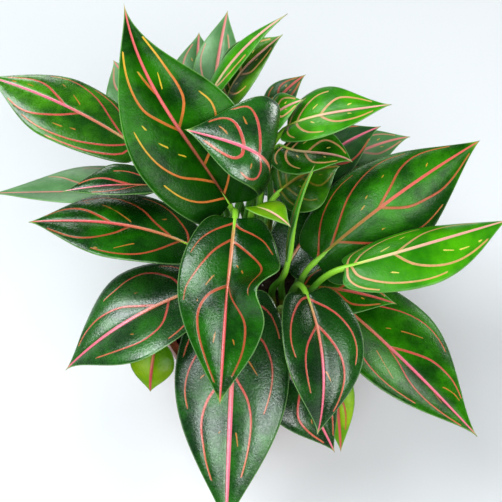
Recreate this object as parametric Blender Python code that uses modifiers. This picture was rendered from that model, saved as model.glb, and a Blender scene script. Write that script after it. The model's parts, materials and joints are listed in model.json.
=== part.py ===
"""A broad-leaved foliage plant with pink veins, standing in a round plastic pot.

Lengths are in metres, +Z is up and the origin is the middle of the pot's foot.
The leaves' sizes are given in millimetres and degrees in the tables below.
"""

import math
from dataclasses import dataclass

import bpy
import bmesh
from mathutils import Matrix, Vector

MM = 0.001
WELD = 0.00001
CUT_MARGIN = 2.0
HOLE_SIDES = 16

# Pot: a turned shell with a broad rim, a step under it and drain holes in its floor.
POT_TOP_RADIUS = 52.0
POT_FOOT_RADIUS = 37.0
POT_HEIGHT = 90.0
POT_WALL = 1.6
POT_FLOOR = 2.4
RIM_WIDTH = 4.0
RIM_DEPTH = 9.0
STEP_HEIGHT = 62.0
STEP_WIDTH = 1.4
EDGE_ROUND = 0.8
INNER_CORNER = 1.0
POT_STEPS = 32
DRAIN_HOLES = 8
DRAIN_RADIUS = 3.2
DRAIN_RING = 27.0

# Soil: a solid filling with a low mound round the canes, given as shares of its radius and height.
SOIL_TOP = 80.0
SOIL_MOUND = 4.0
SOIL_EDGE = 1.0
MOUND_FORM = ((0.35, 0.85), (0.7, 0.35), (0.92, 0.0))
SOIL_STEPS = 32
FIT_GAP = 0.3

# Canes: turned stems that narrow to a growing point, each in a plain hole in the soil.
CANE_RADIUS = 4.6
CANE_TIP_RADIUS = 2.6
CANE_TIP_HEIGHT = 2.5
CANE_TIP_ROUND = 0.6
CANE_TAPER = 9.0
CANE_SINK = 22.0
CANE_STEPS = 10

# Leaves: thickness of the blade and radii of the stalk that runs on as the rib.
BLADE_THICKNESS = 0.7
FOOT_RADIUS = 2.3
NECK_RADIUS = 1.5
RIB_END_RADIUS = 0.55
RIB_END = 0.86
RIB_SINK = 0.55
STALK_POINTS = 4
RIB_POINTS = 3
LONG_GRID = (8, 6)
SHORT_GRID = (6, 4)
STALK_PULL = 0.42
STALK_BEND = 20.0
LONG_LEAF = 70.0

# The base of a blade reaches back beside the stalk in two round lobes.
LOBE_REACH = 0.07
LOBE_PLACE = 0.06
LOBE_ROUND = 1.3
BASE_ROUND = 2.2
ROW_CROWD = 1.55

POT_COLOUR = (0.36, 0.11, 0.06)
SOIL_COLOUR = (0.035, 0.022, 0.014)
CANE_COLOUR = (0.16, 0.24, 0.05)
LEAF_COLOUR = (0.03, 0.16, 0.02)
POT_ROUGHNESS = 0.5
SOIL_ROUGHNESS = 0.95
CANE_ROUGHNESS = 0.5
LEAF_ROUGHNESS = 0.35


@dataclass
class Cane:
    """A stem: where it stands on the pot's plan and how high it grows."""
    name: str
    place: tuple
    top: float


@dataclass
class Leaf:
    """A leaf: where it grows and its form. The first of a pair is for the left half.

    foot      height and direction (degrees) at which the stalk leaves the cane
    neck, tip where the blade starts and ends
    bow, sway how far the midrib is pulled up and to the right, near the neck and near the tip
    face      turn of the blade about its length (degrees)
    share     width of each half over half of the width
    fold      slope of each half at the midrib, and curl the slope that its margin adds (degrees)
    ripples   waves of a half: which (-1 left, 1 right), place, spread, slope (degrees)
    widest    place of the greatest width, and taper how drawn out the tip is
    lean      how far the stalk leans out where it leaves the cane
    fine      a short blade with the closer grid of a long one
    """
    name: str
    cane: str
    foot: tuple
    neck: tuple
    tip: tuple
    width: float
    bow: tuple = (8, 8)
    sway: tuple = (0, 0)
    face: float = 0
    share: tuple = (1, 1)
    fold: tuple = (12, 12)
    curl: tuple = (-14, -14)
    ripples: tuple = ()
    widest: float = 0.38
    taper: float = 1.5
    lean: float = 0.35
    fine: bool = False


CANES = (
    Cane("cane_middle", (-4, 14), 136),
    Cane("cane_right", (17, -10), 108),
    Cane("cane_left", (-29, 12), 114),
    Cane("cane_back", (3, 34), 114),
)

LEAVES = (
    Leaf("leaf_01", "cane_middle", (118, 172), (-11, 18, 167), (-61, 81, 245), 60, bow=(6, 4),
         sway=(-4, -16), fold=(14, 46), curl=(-14, -16), widest=0.36, taper=1.7,
         ripples=((1, 0.14, 0.14, 20),)),
    Leaf("leaf_02", "cane_middle", (128, -20), (7, 23, 175), (-32, 30, 212), 54, bow=(38, 18),
         face=12, share=(0.6, 1.16), fold=(14, 14), curl=(-24, -16), widest=0.52,
         ripples=((1, 0.12, 0.14, -34), (-1, 0.1, 0.16, -4)), fine=True),
    Leaf("leaf_03", "cane_middle", (122, -140), (-8, 2, 177), (-15, -82, 142), 50, bow=(14, 12),
         fold=(8, 8), curl=(-15, -15), widest=0.36, taper=1.3,
         ripples=((-1, 0.42, 0.12, 55), (-1, 0.62, 0.16, 25))),
    Leaf("leaf_04", "cane_middle", (130, -60), (2, 4, 184), (19, -11, 189), 20, bow=(4, 4), fold=(0, 50)),
    Leaf("leaf_05", "cane_middle", (104, 62), (17, 55, 168), (52, 35, 180), 36, bow=(2, 2), sway=(6, -4),
         fold=(20, 20)),
    Leaf("leaf_06", "cane_middle", (98, 98), (19, 57, 182), (70, 51, 206), 34, bow=(10, 6), sway=(4, 4),
         fold=(20, 20)),
    Leaf("leaf_07", "cane_middle", (112, 135), (10, 63, 175), (27, 62, 197), 24, bow=(6, 4), fold=(20, 10)),
    Leaf("leaf_08", "cane_middle", (122, 25), (15, 36, 153), (48, 48, 159), 44),
    Leaf("leaf_09", "cane_right", (98, -170), (-8, -12, 124), (-13, -123, 74), 60, bow=(12, 10),
         fold=(20, 12), widest=0.36, taper=1.4),
    Leaf("leaf_10", "cane_right", (100, -85), (28, -27, 152), (33, -88, 118), 46, bow=(10, 10),
         sway=(-6, -6), fold=(0, 48), taper=1.4),
    Leaf("leaf_11", "cane_right", (98, -125), (11, -38, 112), (45, -83, 78), 42, bow=(10, 8)),
    Leaf("leaf_12", "cane_right", (88, -60), (44, -36, 98), (50, -77, 62), 20, bow=(6, 6), lean=1.0),
    Leaf("leaf_13", "cane_right", (87, -10), (42, 7, 96), (123, -74, 78), 66, bow=(12, 10), sway=(2, 2),
         fold=(8, 42), widest=0.42, lean=1.0),
    Leaf("leaf_14", "cane_right", (100, -42), (46, -21, 169), (127, 1, 177), 42, bow=(10, 4), sway=(6, 2),
         fold=(-22, 8), widest=0.42, taper=1.3),
    Leaf("leaf_15", "cane_right", (100, 0), (33, -7, 152), (116, 41, 190), 64, fold=(0, -34),
         widest=0.36, taper=1.3),
    Leaf("leaf_16", "cane_right", (100, 130), (18, -8, 156), (31, 18, 200), 11, bow=(4, 4), face=62,
         fold=(10, 10), widest=0.45),
    Leaf("leaf_17", "cane_right", (100, 85), (19, 6, 122), (57, 62, 135), 38, fold=(26, 10)),
    Leaf("leaf_18", "cane_right", (94, 40), (27, 3, 108), (81, -8, 107), 32, bow=(6, 6), lean=0.8),
    Leaf("leaf_19", "cane_right", (87, 60), (45, 34, 100), (88, 52, 84), 38, lean=1.0),
    Leaf("leaf_20", "cane_left", (102, 100), (-64, 69, 150), (-151, 108, 165), 46, sway=(1, 1),
         fold=(8, 2), widest=0.48),
    Leaf("leaf_21", "cane_left", (94, 140), (-54, 63, 124), (-146, 48, 134), 46, bow=(8, 4), sway=(-12, -4),
         fold=(52, 0), widest=0.42),
    Leaf("leaf_22", "cane_left", (106, -175), (-49, 40, 152), (-100, 32, 158), 32, sway=(-3, -3),
         fold=(50, 8), widest=0.42),
    Leaf("leaf_23", "cane_left", (104, -130), (-31, 6, 145), (-118, 18, 150), 50, sway=(6, 2),
         fold=(28, 2), widest=0.44, taper=1.4),
    Leaf("leaf_24", "cane_left", (98, -85), (-27, -12, 132), (-99, -47, 105), 62, bow=(10, 10), sway=(2, 2),
         fold=(34, 4), widest=0.42, taper=1.6),
    Leaf("leaf_25", "cane_left", (88, -120), (-52, -32, 105), (-55, -52, 88), 24, bow=(4, 6), lean=1.0),
    Leaf("leaf_26", "cane_back", (100, 0), (27, 53, 140), (71, 71, 165), 38),
    Leaf("leaf_27", "cane_back", (88, 20), (46, 71, 125), (92, 84, 140), 30, lean=0.8),
    Leaf("leaf_28", "cane_back", (98, 115), (-22, 87, 160), (-13, 134, 190), 26),
    Leaf("leaf_29", "cane_back", (98, 156), (-31, 88, 150), (-30, 135, 172), 34),
    Leaf("leaf_30", "cane_back", (102, -170), (-24, 74, 180), (18, 84, 235), 15),
    Leaf("leaf_31", "cane_back", (102, 81), (-13, 77, 180), (16, 85, 220), 34, bow=(8, 4), fold=(24, 24)),
    Leaf("leaf_32", "cane_back", (100, 40), (9, 81, 160), (30, 95, 180), 20, bow=(6, 6)),
    Leaf("leaf_33", "cane_back", (88, 132), (-57, 88, 136), (-83, 138, 146), 36, lean=0.8),
    Leaf("leaf_34", "cane_back", (87, 75), (14, 66, 104), (40, 104, 86), 40, lean=1.0),
    Leaf("leaf_35", "cane_back", (87, 175), (-26, 58, 108), (-46, 106, 92), 40, lean=1.0),
)


def empty_scene():
    """Remove every object that is in the scene."""
    for thing in list(bpy.data.objects):
        bpy.data.objects.remove(thing, do_unlink=True)


def new_collection(name):
    """A collection linked to the scene."""
    collection = bpy.data.collections.new(name)
    bpy.context.scene.collection.children.link(collection)
    return collection


def new_material(name, colour, roughness):
    """A plain shaded material."""
    material = bpy.data.materials.new(name)
    material.use_nodes = True
    shader = material.node_tree.nodes["Principled BSDF"]
    shader.inputs["Base Color"].default_value = (*colour, 1.0)
    shader.inputs["Roughness"].default_value = roughness
    return material


def new_object(name, data, collection):
    """An object linked to one collection."""
    thing = bpy.data.objects.new(name, data)
    collection.objects.link(thing)
    return thing


def make_active(thing):
    """Select one object only and make it the active one."""
    for other in bpy.context.selected_objects:
        other.select_set(False)
    thing.select_set(True)
    bpy.context.view_layer.objects.active = thing


def apply_modifiers(thing):
    """Apply every modifier of an object, first to last."""
    make_active(thing)
    for modifier in list(thing.modifiers):
        bpy.ops.object.modifier_apply(modifier=modifier.name)


def turned(name, profile, steps, collection):
    """A solid of revolution about Z from a profile of (radius, height) in millimetres, top to bottom."""
    mesh = bpy.data.meshes.new(name)
    points = [(radius * MM, 0.0, height * MM) for radius, height in profile]
    edges = [(i, i + 1) for i in range(len(points) - 1)]
    mesh.from_pydata(points, edges, [])
    thing = new_object(name, mesh, collection)
    screw = thing.modifiers.new("turn", "SCREW")
    screw.axis = "Z"
    screw.steps = steps
    screw.render_steps = steps
    screw.use_merge_vertices = True
    screw.merge_threshold = WELD
    screw.use_smooth_shade = True
    apply_modifiers(thing)
    return thing


def rod_cutter(name, place, radius, bottom, top, collection):
    """An upright round cutter, in millimetres."""
    bpy.ops.mesh.primitive_cylinder_add(
        vertices=HOLE_SIDES, radius=radius * MM, depth=(top - bottom) * MM,
        location=(place[0] * MM, place[1] * MM, (top + bottom) / 2 * MM))
    cutter = bpy.context.active_object
    cutter.name = name
    for owner in list(cutter.users_collection):
        owner.objects.unlink(cutter)
    collection.objects.link(cutter)
    cutter.hide_render = True
    cutter.display_type = "WIRE"
    return cutter


def cut(thing, cutters):
    """Cut holes in an object and apply each cut."""
    for cutter in cutters:
        modifier = thing.modifiers.new("hole", "BOOLEAN")
        modifier.operation = "DIFFERENCE"
        modifier.solver = "EXACT"
        modifier.object = cutter
    apply_modifiers(thing)


def wall_radius(height):
    """The outer radius of the plain wall of the pot at a height."""
    return POT_FOOT_RADIUS + (POT_TOP_RADIUS - RIM_WIDTH - POT_FOOT_RADIUS) * height / POT_HEIGHT


def inner_radius(height):
    """The inner radius of the pot at a height between its step and its rim."""
    share = (height - STEP_HEIGHT) / (POT_HEIGHT - RIM_DEPTH - STEP_HEIGHT)
    widening = wall_radius(POT_HEIGHT) - wall_radius(STEP_HEIGHT)
    return wall_radius(STEP_HEIGHT) - POT_WALL + widening * share


def make_pot(collection, cutters):
    """The pot: outer side from the rim down, foot, then the inner side back up."""
    rim_bottom = POT_HEIGHT - RIM_DEPTH
    foot_inside = POT_FOOT_RADIUS - POT_WALL
    outside = [
        (POT_TOP_RADIUS - EDGE_ROUND, POT_HEIGHT),
        (POT_TOP_RADIUS, POT_HEIGHT - EDGE_ROUND),
        (POT_TOP_RADIUS, rim_bottom + EDGE_ROUND),
        (POT_TOP_RADIUS - EDGE_ROUND, rim_bottom),
        (wall_radius(rim_bottom) + STEP_WIDTH, rim_bottom),
        (wall_radius(STEP_HEIGHT) + STEP_WIDTH, STEP_HEIGHT),
        (wall_radius(STEP_HEIGHT), STEP_HEIGHT - STEP_WIDTH),
        (wall_radius(EDGE_ROUND), EDGE_ROUND),
        (POT_FOOT_RADIUS - EDGE_ROUND, 0.0),
        (0.0, 0.0),
    ]
    inside = [
        (0.0, POT_FLOOR),
        (foot_inside - INNER_CORNER, POT_FLOOR),
        (foot_inside, POT_FLOOR + INNER_CORNER),
        (inner_radius(STEP_HEIGHT), STEP_HEIGHT),
        (inner_radius(rim_bottom), rim_bottom),
        (inner_radius(rim_bottom) + EDGE_ROUND, POT_HEIGHT - EDGE_ROUND),
        (inner_radius(rim_bottom) + EDGE_ROUND + EDGE_ROUND, POT_HEIGHT),
    ]
    pot = turned("pot", outside + inside + outside[:1], POT_STEPS, collection)
    holes = []
    for i in range(DRAIN_HOLES):
        angle = math.tau * i / DRAIN_HOLES
        place = (DRAIN_RING * math.cos(angle), DRAIN_RING * math.sin(angle))
        holes.append(rod_cutter(f"drain_{i + 1}", place, DRAIN_RADIUS,
                                -CUT_MARGIN, POT_FLOOR + CUT_MARGIN, cutters))
    cut(pot, holes)
    return pot


def make_soil(collection, cutters):
    """The soil: fills the pot to a low mound and has a plain hole for each cane."""
    edge_height = SOIL_TOP - SOIL_EDGE
    edge_radius = inner_radius(edge_height) - FIT_GAP
    foot_radius = POT_FOOT_RADIUS - POT_WALL - FIT_GAP
    floor_height = POT_FLOOR + FIT_GAP
    mound = [(edge_radius * out, SOIL_TOP + SOIL_MOUND * up) for out, up in MOUND_FORM]
    sides = [
        (edge_radius, edge_height),
        (inner_radius(STEP_HEIGHT) - FIT_GAP, STEP_HEIGHT),
        (foot_radius, floor_height + INNER_CORNER),
        (foot_radius - INNER_CORNER, floor_height),
        (0.0, floor_height),
    ]
    soil = turned("soil", [(0.0, SOIL_TOP + SOIL_MOUND)] + mound + sides, SOIL_STEPS, collection)
    holes = []
    for cane in CANES:
        holes.append(rod_cutter(f"{cane.name}_hole", cane.place, CANE_RADIUS + FIT_GAP,
                                SOIL_TOP - CANE_SINK - FIT_GAP, SOIL_TOP + SOIL_MOUND + CUT_MARGIN, cutters))
    cut(soil, holes)
    return soil


def make_cane(cane, collection):
    """A cane: an upright stem that narrows at its end to a round growing point."""
    bottom = SOIL_TOP - CANE_SINK
    profile = [
        (0.0, cane.top),
        (CANE_TIP_RADIUS * CANE_TIP_ROUND, cane.top - CANE_TIP_ROUND),
        (CANE_TIP_RADIUS, cane.top - CANE_TIP_HEIGHT),
        (CANE_RADIUS, cane.top - CANE_TAPER),
        (CANE_RADIUS, bottom),
        (0.0, bottom),
    ]
    thing = turned(cane.name, profile, CANE_STEPS, collection)
    thing.data.transform(Matrix.Translation((cane.place[0] * MM, cane.place[1] * MM, 0.0)))
    return thing


def cane_surface(cane, height, turn):
    """How far the side of a cane lies from its middle at a height, in a direction (radians)."""
    below_tip = max(0.0, cane.top - CANE_TIP_HEIGHT - height)
    filled = min(1.0, below_tip / (CANE_TAPER - CANE_TIP_HEIGHT))
    radius = CANE_TIP_RADIUS + (CANE_RADIUS - CANE_TIP_RADIUS) * filled
    half_step = math.pi / CANE_STEPS
    return radius * math.cos(half_step) / math.cos(turn % (2 * half_step) - half_step)


def half_width(leaf, t):
    """The half width of a blade over its largest: a rounded base and a drawn-out tip."""
    if t < leaf.widest:
        return math.sqrt(max(0.0, 1 - (1 - t / leaf.widest) ** BASE_ROUND))
    u = (t - leaf.widest) / (1 - leaf.widest)
    return (1 - u) ** leaf.taper * (1 + leaf.taper * u)


def leaf_frame(leaf, t):
    """The point on the midrib at t, its direction, the blade's upward normal and its right side."""
    neck = Vector(leaf.neck)
    chord = Vector(leaf.tip) - neck
    along = chord.normalized()
    upward = (Vector((0, 0, 1)) - along * along.z).normalized()
    upward = Matrix.Rotation(-math.radians(leaf.face), 3, along) @ upward
    rightward = along.cross(upward)
    point = neck + chord * t
    direction = chord.copy()
    lifts = (3 * t * (1 - t) ** 2, 3 * t ** 2 * (1 - t))
    slopes = (3 * (1 - t) * (1 - 3 * t), 3 * t * (2 - 3 * t))
    for i in range(2):
        shift = upward * leaf.bow[i] + rightward * leaf.sway[i]
        point = point + shift * lifts[i]
        direction = direction + shift * slopes[i]
    direction.normalize()
    normal = (upward - direction * upward.dot(direction)).normalized()
    return point, direction, normal, direction.cross(normal)


def blade_point(leaf, t, s):
    """A point of the blade: t from neck to tip, s from the left margin (-1) to the right one (1)."""
    point, direction, normal, rightward = leaf_frame(leaf, t)
    side = 1 if s > 0 else -1
    out = abs(s)
    angle = leaf.fold[side > 0] + leaf.curl[side > 0] * out
    for which, place, spread, turn in leaf.ripples:
        if which == side:
            angle += turn * math.exp(-((t - place) / spread) ** 2)
    reach = out * leaf.width / 2 * leaf.share[side > 0] * half_width(leaf, t)
    across = reach * math.cos(math.radians(angle)) * side
    lift = reach * math.sin(math.radians(angle))
    length = (Vector(leaf.tip) - Vector(leaf.neck)).length
    back = LOBE_REACH * length * out ** LOBE_ROUND * t / LOBE_PLACE * math.exp(1 - t / LOBE_PLACE)
    return point - direction * back + rightward * across + normal * lift


def blade_rows(count):
    """Places along a blade, closer together near its base."""
    return [(i / count) ** ROW_CROWD for i in range(1, count)]


def make_blade(leaf, collection):
    """The blade: a waved open surface in triangles, thickened downward."""
    is_long = (Vector(leaf.tip) - Vector(leaf.neck)).length > LONG_LEAF
    row_count, columns = LONG_GRID if is_long or leaf.fine else SHORT_GRID
    rows = blade_rows(row_count)
    form = bmesh.new()
    grid = []
    for t in rows:
        line = [form.verts.new(blade_point(leaf, t, 2 * j / columns - 1) * MM) for j in range(columns + 1)]
        grid.append(line)
    neck = form.verts.new(blade_point(leaf, 0.0, 0.0) * MM)
    tip = form.verts.new(blade_point(leaf, 1.0, 0.0) * MM)
    for j in range(columns):
        form.faces.new((neck, grid[0][j], grid[0][j + 1]))
        form.faces.new((tip, grid[-1][j + 1], grid[-1][j]))
    for i in range(len(grid) - 1):
        for j in range(columns):
            near, far = grid[i], grid[i + 1]
            if j < columns / 2:
                form.faces.new((near[j], far[j], far[j + 1]))
                form.faces.new((near[j], far[j + 1], near[j + 1]))
            else:
                form.faces.new((near[j], far[j], near[j + 1]))
                form.faces.new((far[j], far[j + 1], near[j + 1]))
    bmesh.ops.recalc_face_normals(form, faces=form.faces)
    middle = form.faces[0]
    if middle.normal.dot(leaf_frame(leaf, 0.0)[2]) < 0:
        bmesh.ops.reverse_faces(form, faces=form.faces)
    mesh = bpy.data.meshes.new(f"{leaf.name}_blade")
    form.to_mesh(mesh)
    form.free()
    blade = new_object(leaf.name, mesh, collection)
    shell = blade.modifiers.new("thickness", "SOLIDIFY")
    shell.thickness = BLADE_THICKNESS * MM
    shell.offset = 0.0
    apply_modifiers(blade)
    return blade


def stalk_line(leaf, canes):
    """Points and radii of the stalk from the cane to the blade, then of the rib under the blade."""
    cane = canes[leaf.cane]
    height = leaf.foot[0]
    turn = math.radians(leaf.foot[1])
    outward = Vector((math.cos(turn), math.sin(turn), 0))
    foot_reach = FOOT_RADIUS * math.cos(math.atan(leaf.lean))
    offset = cane_surface(cane, height, turn) + foot_reach + FIT_GAP
    start = Vector((*cane.place, height)) + outward * offset
    neck, direction, normal, _ = leaf_frame(leaf, 0.0)
    end = neck - normal * NECK_RADIUS * RIB_SINK
    pull = (end - start).length * STALK_PULL
    blade_length = (Vector(leaf.tip) - Vector(leaf.neck)).length
    first = start + (Vector((0, 0, 1)) + outward * leaf.lean).normalized() * pull
    second = end - direction * min(pull, STALK_BEND, blade_length * STALK_PULL)
    line = []
    for i in range(STALK_POINTS):
        u = i / STALK_POINTS
        weights = ((1 - u) ** 3, 3 * u * (1 - u) ** 2, 3 * u * u * (1 - u), u ** 3)
        point = start * weights[0] + first * weights[1] + second * weights[2] + end * weights[3]
        line.append((point, FOOT_RADIUS + (NECK_RADIUS - FOOT_RADIUS) * u))
    for i in range(RIB_POINTS + 1):
        t = RIB_END * i / RIB_POINTS
        radius = NECK_RADIUS + (RIB_END_RADIUS - NECK_RADIUS) * t / RIB_END
        point, _, normal, _ = leaf_frame(leaf, t)
        line.append((point - normal * radius * RIB_SINK, radius))
    return line


def make_stalk(leaf, canes, collection):
    """The stalk and rib: one tapered round tube with closed ends."""
    line = stalk_line(leaf, canes)
    curve = bpy.data.curves.new(f"{leaf.name}_stalk", "CURVE")
    curve.dimensions = "3D"
    curve.bevel_depth = MM
    curve.bevel_resolution = 1
    curve.use_fill_caps = True
    spline = curve.splines.new("POLY")
    spline.points.add(len(line) - 1)
    for knot, (point, radius) in zip(spline.points, line):
        knot.co = (*(point * MM), 1.0)
        knot.radius = radius
    path = new_object(f"{leaf.name}_path", curve, collection)
    bpy.context.view_layer.update()
    mesh = bpy.data.meshes.new_from_object(path.evaluated_get(bpy.context.evaluated_depsgraph_get()))
    form = bmesh.new()
    form.from_mesh(mesh)
    bmesh.ops.remove_doubles(form, verts=form.verts, dist=WELD)
    bmesh.ops.triangulate(form, faces=form.faces)
    form.to_mesh(mesh)
    form.free()
    stalk = new_object(f"{leaf.name}_stalk", mesh, collection)
    stalk.matrix_world = path.matrix_world
    bpy.data.objects.remove(path, do_unlink=True)
    return stalk


def make_leaf(leaf, canes, collection):
    """A leaf: blade, stalk and rib joined into one closed piece."""
    blade = make_blade(leaf, collection)
    stalk = make_stalk(leaf, canes, collection)
    joint = blade.modifiers.new("join", "BOOLEAN")
    joint.operation = "UNION"
    joint.solver = "MANIFOLD"
    joint.object = stalk
    apply_modifiers(blade)
    bpy.data.objects.remove(stalk, do_unlink=True)
    return blade


def paint(thing, material, smooth=True):
    """Give an object one material and its shading."""
    thing.data.materials.clear()
    thing.data.materials.append(material)
    for face in thing.data.polygons:
        face.use_smooth = smooth
        face.material_index = 0


def build():
    """Build the whole plant."""
    empty_scene()
    parts = new_collection("potted_plant")
    cutters = new_collection("cutters")
    cutters.hide_render = True
    pot_plastic = new_material("pot_plastic", POT_COLOUR, POT_ROUGHNESS)
    potting_mix = new_material("potting_mix", SOIL_COLOUR, SOIL_ROUGHNESS)
    paint(make_pot(parts, cutters), pot_plastic, smooth=False)
    paint(make_soil(parts, cutters), potting_mix, smooth=False)
    canes = {cane.name: cane for cane in CANES}
    for cane in CANES:
        paint(make_cane(cane, parts), new_material(cane.name, CANE_COLOUR, CANE_ROUGHNESS))
    for leaf in LEAVES:
        paint(make_leaf(leaf, canes, parts), new_material(leaf.name, LEAF_COLOUR, LEAF_ROUGHNESS))


build()
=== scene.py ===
import json
import math
import random

import bmesh
import bpy
from mathutils import Matrix, Vector, noise


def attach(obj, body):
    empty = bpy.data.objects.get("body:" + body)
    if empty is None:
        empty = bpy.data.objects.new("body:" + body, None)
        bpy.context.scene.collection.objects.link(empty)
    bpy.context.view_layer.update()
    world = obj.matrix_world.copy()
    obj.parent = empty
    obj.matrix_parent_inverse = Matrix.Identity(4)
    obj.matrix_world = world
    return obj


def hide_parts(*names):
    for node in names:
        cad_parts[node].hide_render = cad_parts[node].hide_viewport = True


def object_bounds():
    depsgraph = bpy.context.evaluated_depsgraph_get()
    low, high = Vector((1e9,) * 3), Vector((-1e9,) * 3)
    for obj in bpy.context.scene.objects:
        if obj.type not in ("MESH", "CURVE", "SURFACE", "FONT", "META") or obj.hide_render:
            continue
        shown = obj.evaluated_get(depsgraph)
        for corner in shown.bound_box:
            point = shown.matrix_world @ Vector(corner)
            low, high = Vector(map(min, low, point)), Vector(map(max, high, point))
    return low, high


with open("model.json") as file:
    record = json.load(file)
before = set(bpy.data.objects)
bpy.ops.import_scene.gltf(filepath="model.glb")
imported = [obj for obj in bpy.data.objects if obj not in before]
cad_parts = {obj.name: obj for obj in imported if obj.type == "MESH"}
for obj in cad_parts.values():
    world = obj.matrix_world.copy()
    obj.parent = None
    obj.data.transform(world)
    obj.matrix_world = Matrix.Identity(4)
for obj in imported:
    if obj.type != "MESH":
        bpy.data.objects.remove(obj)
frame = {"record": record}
cad_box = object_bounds()
MM = 0.001


# The pot is a plain round nursery pot, moulded in thin brick-red plastic.
# It has a broad rim, a step under the rim for stacking and eight drain holes in its floor.
# The moulded surface is satin, a little scuffed, with dried soil splashed up its side.

POT_HEIGHT, STEP_HEIGHT, RIM_START = 90.0, 62.0, 81.0
FOOT_RADIUS, FLARE, WALL = 37.0, 11.0, 1.6
DRAINS, DRAIN_CIRCLE, DRAIN_RADIUS = 8, 27.0, 3.2
BRICK_RED, FADED_RED = (0.30, 0.075, 0.038), (0.37, 0.105, 0.055)
SCUFF, DRIED_SOIL = (0.42, 0.20, 0.13), (0.055, 0.035, 0.022)


def select_only(piece):
    """Deselect everything and make one piece the selected, active one."""
    bpy.ops.object.select_all(action="DESELECT")
    piece.select_set(True)
    bpy.context.view_layer.objects.active = piece


def apply_all(piece):
    """Apply the modifiers of a piece, first to last."""
    select_only(piece)
    for modifier in list(piece.modifiers):
        bpy.ops.object.modifier_apply(modifier=modifier.name)


def turned_piece(name, rings, sides, middle=(0.0, 0.0)):
    """Extrude a circle from ring to ring, given as (radius, height) in millimetres, and close its ends."""
    bpy.ops.object.select_all(action="DESELECT")
    radius, height = rings[0]
    centre = Vector((middle[0], middle[1], height)) * MM
    bpy.ops.mesh.primitive_circle_add(vertices=sides, radius=radius * MM, location=centre)
    piece = bpy.context.active_object
    piece.name = name
    bpy.ops.object.transform_apply(location=True, rotation=True, scale=True)
    bpy.ops.object.mode_set(mode="EDIT")
    bpy.ops.mesh.select_all(action="SELECT")
    for wider, higher in rings[1:]:
        rise = (higher - height) * MM
        bpy.ops.mesh.extrude_region_move(TRANSFORM_OT_translate={"value": (0, 0, rise)})
        centre.z = higher * MM
        share = wider / radius
        bpy.ops.transform.resize(value=(share, share, 1), center_override=centre)
        radius, height = wider, higher
    bpy.ops.mesh.select_all(action="SELECT")
    bpy.ops.mesh.fill_holes(sides=0)
    bpy.ops.mesh.normals_make_consistent(inside=False)
    bpy.ops.object.mode_set(mode="OBJECT")
    return piece


def wall_radius(height):
    """The outer radius of the pot's plain wall at a height."""
    return FOOT_RADIUS + FLARE * height / POT_HEIGHT


def inner_radius(height):
    """The inner radius of the pot between its step and its rim."""
    widening = wall_radius(POT_HEIGHT) - wall_radius(STEP_HEIGHT)
    return wall_radius(STEP_HEIGHT) - WALL + widening * (height - STEP_HEIGHT) / (RIM_START - STEP_HEIGHT)


# The pot's profile as (radius, height): up its outside, over the rim, and down its inside.
outer_rings = [(0.6, 0.0), (22.0, 0.0), (33.0, 0.0), (35.6, 0.1), (36.5, 0.4), (37.0, 1.0), (37.3, 2.6)]
outer_rings += [(wall_radius(z), z) for z in (14.0, 30.0, 46.0, 60.0)]
outer_rings += [(wall_radius(60.6) + 0.1, 60.6), (wall_radius(61.4) + 0.9, 61.5), (wall_radius(62) + 1.3, 62.2)]
outer_rings += [(wall_radius(72) + 1.35, 72.0), (wall_radius(80.8) + 1.35, 80.6), (wall_radius(81) + 1.8, 81.0)]
outer_rings += [(51.0, 81.1), (51.7, 81.4), (52.0, 82.1), (52.0, 85.6), (51.9, 88.6), (51.6, 89.5), (51.0, 89.9)]
outer_rings += [(50.2, 90.0), (49.2, 89.9), (48.8, 89.4)]
inner_rings = [(inner_radius(81) + 0.35, 86.0), (inner_radius(81), 81.0), (inner_radius(72), 72.0)]
inner_rings += [(inner_radius(62), 62.0), (36.8, 20.0), (35.5, 4.4), (35.1, 3.2), (34.2, 2.5), (30.0, 2.4), (0.6, 2.4)]
pot = turned_piece("nursery_pot", outer_rings + inner_rings, 96)

drains = []
for i in range(DRAINS):
    bpy.ops.object.select_all(action="DESELECT")
    turn = math.tau * i / DRAINS
    place = (DRAIN_CIRCLE * MM * math.cos(turn), DRAIN_CIRCLE * MM * math.sin(turn), 1.2 * MM)
    bpy.ops.mesh.primitive_cylinder_add(vertices=24, radius=DRAIN_RADIUS * MM, depth=8 * MM, location=place)
    drains.append(bpy.context.active_object)
select_only(drains[0])
for drain in drains:
    drain.select_set(True)
bpy.ops.object.join()
drill = bpy.context.active_object
holes = pot.modifiers.new("drain_holes", "BOOLEAN")
holes.operation = "DIFFERENCE"
holes.solver = "EXACT"
holes.object = drill
apply_all(pot)
bpy.data.objects.remove(drill, do_unlink=True)
select_only(pot)
bpy.ops.object.shade_smooth_by_angle(angle=math.radians(35))


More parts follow.
